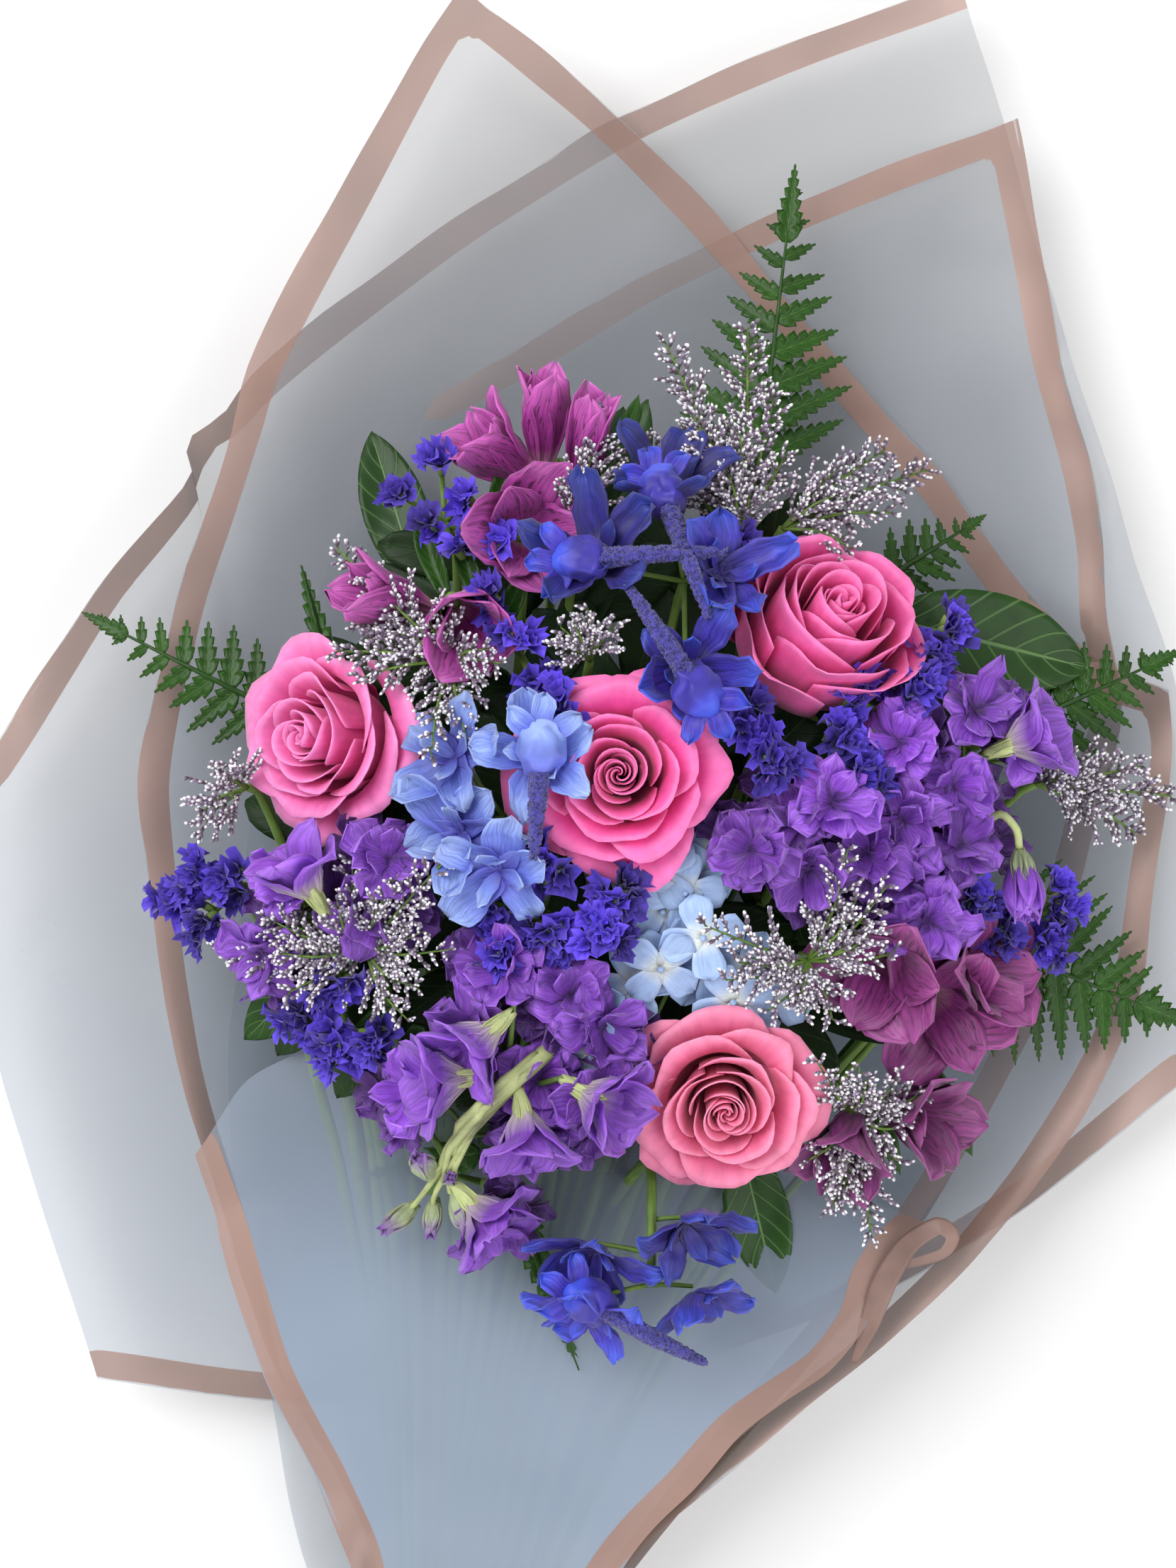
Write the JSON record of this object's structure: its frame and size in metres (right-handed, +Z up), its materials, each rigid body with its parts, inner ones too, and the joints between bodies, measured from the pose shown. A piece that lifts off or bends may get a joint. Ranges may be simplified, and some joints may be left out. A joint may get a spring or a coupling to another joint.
{
  "type": "wrapped mixed flower bouquet",
  "caption": "Cut mixed bouquet lying on its back: roses, stock, statice, sea lavender, larkspur, alstroemeria and fern in frosted film, tied at the neck.",
  "frame": {"origin": "centre of the bounding box at its bottom, on the surface the bouquet lies on", "axes": "+Y from the stem ends to the tips of the film, +Z up out of the flower faces, +X to the right seen from above with the tips away"},
  "size_m": [0.4278, 0.6908, 0.1572],
  "materials": {
    "rose_left_petals": "soft satin petals",
    "rose_centre_petals": "soft satin petals",
    "rose_upper_right_petals": "soft satin petals",
    "rose_lower_petals": "soft satin petals",
    "rose_green": "fresh green stem",
    "stock": "matte petals",
    "statice": "papery ruffled calyces",
    "sea_lavender": "papery small buds",
    "larkspur": "silky petals",
    "larkspur_light": "silky petals",
    "hydrangea": "matte petals",
    "alstroemeria": "silky streaked petals",
    "fern": "semi-gloss leaflets",
    "broad_leaf": "glossy veined leaf",
    "film": "frosted translucent film with a rose-gold border",
    "twine": "twisted natural fibre",
    "ribbon": "satin ribbon"
  },
  "bodies": {
    "root": {"alstroemeria_lower_right": "alstroemeria", "alstroemeria_right": "alstroemeria", "alstroemeria_top": "alstroemeria", "alstroemeria_upper": "alstroemeria", "alstroemeria_upper_left": "alstroemeria", "broad_leaf_lower": "broad_leaf", "broad_leaf_lower_left": "broad_leaf", "broad_leaf_right": "broad_leaf", "broad_leaf_upper": "broad_leaf", "broad_leaf_upper_left": "broad_leaf", "fern_left": "fern", "fern_lower": "fern", "fern_lower_left": "fern", "fern_right_lower": "fern", "fern_right_upper": "fern", "fern_top": "fern", "fern_top_right": "fern", "fern_upper_left": "fern", "film_front": "film", "film_inner": "film", "film_middle": "film", "film_wide": "film", "hydrangea": "hydrangea", "larkspur_centre_left": "larkspur_light", "larkspur_lower": "larkspur", "larkspur_upper": "larkspur", "rose_centre_bloom": "rose_centre_petals", "rose_centre_stem": "rose_green", "rose_left_bloom": "rose_left_petals", "rose_left_stem": "rose_green", "rose_lower_bloom": "rose_lower_petals", "rose_lower_stem": "rose_green", "rose_upper_right_bloom": "rose_upper_right_petals", "rose_upper_right_stem": "rose_green", "sea_lavender_centre": "sea_lavender", "sea_lavender_far_left": "sea_lavender", "sea_lavender_far_right": "sea_lavender", "sea_lavender_left": "sea_lavender", "sea_lavender_lower_right": "sea_lavender", "sea_lavender_right": "sea_lavender", "sea_lavender_top": "sea_lavender", "sea_lavender_top_right": "sea_lavender", "sea_lavender_upper": "sea_lavender", "sea_lavender_upper_left": "sea_lavender", "statice_centre": "statice", "statice_centre_right": "statice", "statice_far_left": "statice", "statice_far_right": "statice", "statice_lower_left": "statice", "statice_right": "statice", "statice_upper": "statice", "statice_upper_left": "statice", "stem_twine": "twine", "stock_centre_right": "stock", "stock_left": "stock", "stock_lower": "stock", "stock_lower_back": "stock", "stock_right": "stock", "stock_right_upper": "stock", "wrap_ribbon": "ribbon"}
  },
  "joints": []
}
